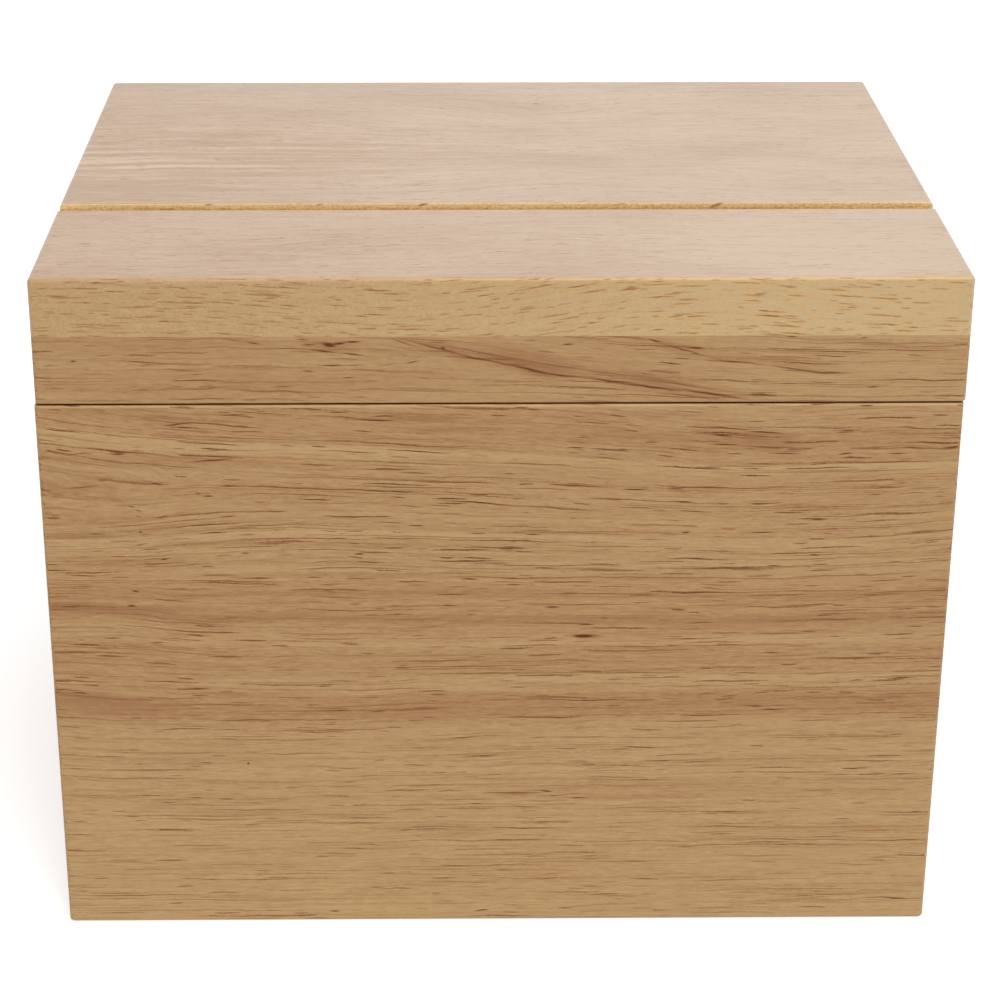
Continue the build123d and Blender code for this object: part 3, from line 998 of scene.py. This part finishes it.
dress("body_front_panel", front_panel_wood())
dress("body_back_panel", board_wood("back_panel_wood", "x", seed=2.0))
dress("body_left_panel", board_wood("left_panel_wood", "y", seed=3.0))
dress("body_right_panel", board_wood("right_panel_wood", "y", seed=4.0, tone=0.6))
dress("body_floor_panel", floor_panel_wood())
dress("lid_top_board", top_board_wood())
dress("lid_front_rail", front_rail_wood())
dress("lid_back_rail", board_wood("back_rail_wood", "x", seed=6.0))
dress("lid_left_rail", board_wood("left_rail_wood", "y", seed=7.0))
dress("lid_right_rail", board_wood("right_rail_wood", "y", seed=9.0, tone=0.6))
hinge_brass = brass("hinge_brass_satin", BRASS, BRASS_WORN, roughness=0.34)
screw_brass = brass("screw_brass_satin", SCREW_BRASS, BRASS, roughness=0.28)
for side in ("left", "right"):
    for part in ("body_leaf", "lid_leaf", "pin"):
        dress(f"{side}_hinge_{part}", hinge_brass)
    for part in ("body_screws", "lid_screws"):
        dress(f"{side}_hinge_{part}", screw_brass)


# ---- Camera ----
#
# Its place in millimetres and its angles in degrees come from a fit to the box's edges in the photo.

FOCAL_PIXELS = 2632.56
IMAGE_PIXELS = 1000
SENSOR_WIDTH = 36.0
CAMERA_AT = (-10.69, -539.60, 301.34)
YAW = -0.611
PITCH_DOWN = 23.726
ROLL = 0.051
SHIFT_PIXELS = 30.0


def add_camera():
    data = bpy.data.cameras.new("camera")
    data.sensor_fit = "HORIZONTAL"
    data.sensor_width = SENSOR_WIDTH
    data.lens = FOCAL_PIXELS / IMAGE_PIXELS * SENSOR_WIDTH
    data.shift_x = SHIFT_PIXELS / IMAGE_PIXELS
    camera = bpy.data.objects.new("camera", data)
    camera.location = Vector(CAMERA_AT) * MM
    turn = Matrix.Rotation(math.radians(YAW), 3, "Z")
    turn = turn @ Matrix.Rotation(math.radians(90 - PITCH_DOWN), 3, "X")
    turn = turn @ Matrix.Rotation(math.radians(ROLL), 3, "Z")
    camera.rotation_euler = turn.to_euler()
    scene.collection.objects.link(camera)
    scene.camera = camera


# ---- Light and backdrop ----
#
# The floor's sizes are in metres.

WHITE = (1, 1, 1, 1)
SKY_LEVEL = 0.55
KEY_STRENGTH = 1.6
KEY_HEIGHT_ANGLE = 52.0
KEY_TURN = 22.0
KEY_SPREAD = 30.0
FLOOR_GREY = 0.8
FLOOR_LIFT = 0.5
FLOOR_HALF = 6.0
FLOOR_DROP = 0.0001


def seen_directly(tree):
    """1 for rays from the camera and those that gloss or glass sends on, and 0 for soft light."""
    path = tree.nodes.new("ShaderNodeLightPath")
    total = None
    for name in ("Is Camera Ray", "Is Glossy Ray", "Is Transmission Ray"):
        if total is None:
            total = path.outputs[name]
            continue
        node = tree.nodes.new("ShaderNodeMath")
        node.operation = "MAXIMUM"
        tree.links.new(total, node.inputs[0])
        tree.links.new(path.outputs[name], node.inputs[1])
        total = node.outputs[0]
    return total


def add_world():
    world = bpy.data.worlds.new("studio")
    scene.world = world
    world.use_nodes = True
    tree = world.node_tree
    background = tree.nodes["Background"]
    background.inputs["Color"].default_value = WHITE
    level = tree.nodes.new("ShaderNodeMapRange")
    tree.links.new(seen_directly(tree), level.inputs["Value"])
    level.inputs["To Min"].default_value = SKY_LEVEL
    level.inputs["To Max"].default_value = 1.0
    tree.links.new(level.outputs[0], background.inputs["Strength"])


def add_floor():
    mesh = bpy.data.meshes.new("floor")
    corners = [(-FLOOR_HALF, -FLOOR_HALF, 0), (FLOOR_HALF, -FLOOR_HALF, 0)]
    corners += [(FLOOR_HALF, FLOOR_HALF, 0), (-FLOOR_HALF, FLOOR_HALF, 0)]
    mesh.from_pydata(corners, [], [(0, 1, 2, 3)])
    floor = bpy.data.objects.new("floor", mesh)
    floor.location.z = cad_box[0][2] - FLOOR_DROP
    scene.collection.objects.link(floor)
    material = bpy.data.materials.new("floor")
    material.use_nodes = True
    tree = material.node_tree
    shader = tree.nodes["Principled BSDF"]
    shader.inputs["Base Color"].default_value = (FLOOR_GREY, FLOOR_GREY, FLOOR_GREY, 1)
    shader.inputs["Roughness"].default_value = 1.0
    shader.inputs["Specular IOR Level"].default_value = 0.0
    shader.inputs["Emission Color"].default_value = WHITE
    lift = tree.nodes.new("ShaderNodeMath")
    lift.operation = "MULTIPLY"
    lift.inputs[1].default_value = FLOOR_LIFT
    tree.links.new(seen_directly(tree), lift.inputs[0])
    tree.links.new(lift.outputs[0], shader.inputs["Emission Strength"])
    floor.data.materials.append(material)


def add_key():
    """A sun as soft as a wide lamp, above the front and a little to the right."""
    data = bpy.data.lights.new("key", "SUN")
    data.energy = KEY_STRENGTH
    data.angle = math.radians(KEY_SPREAD)
    key = bpy.data.objects.new("key", data)
    key.rotation_euler = (math.radians(90 - KEY_HEIGHT_ANGLE), 0, math.radians(KEY_TURN))
    scene.collection.objects.link(key)


scene.view_settings.view_transform = "Standard"
add_camera()
add_world()
add_floor()
add_key()
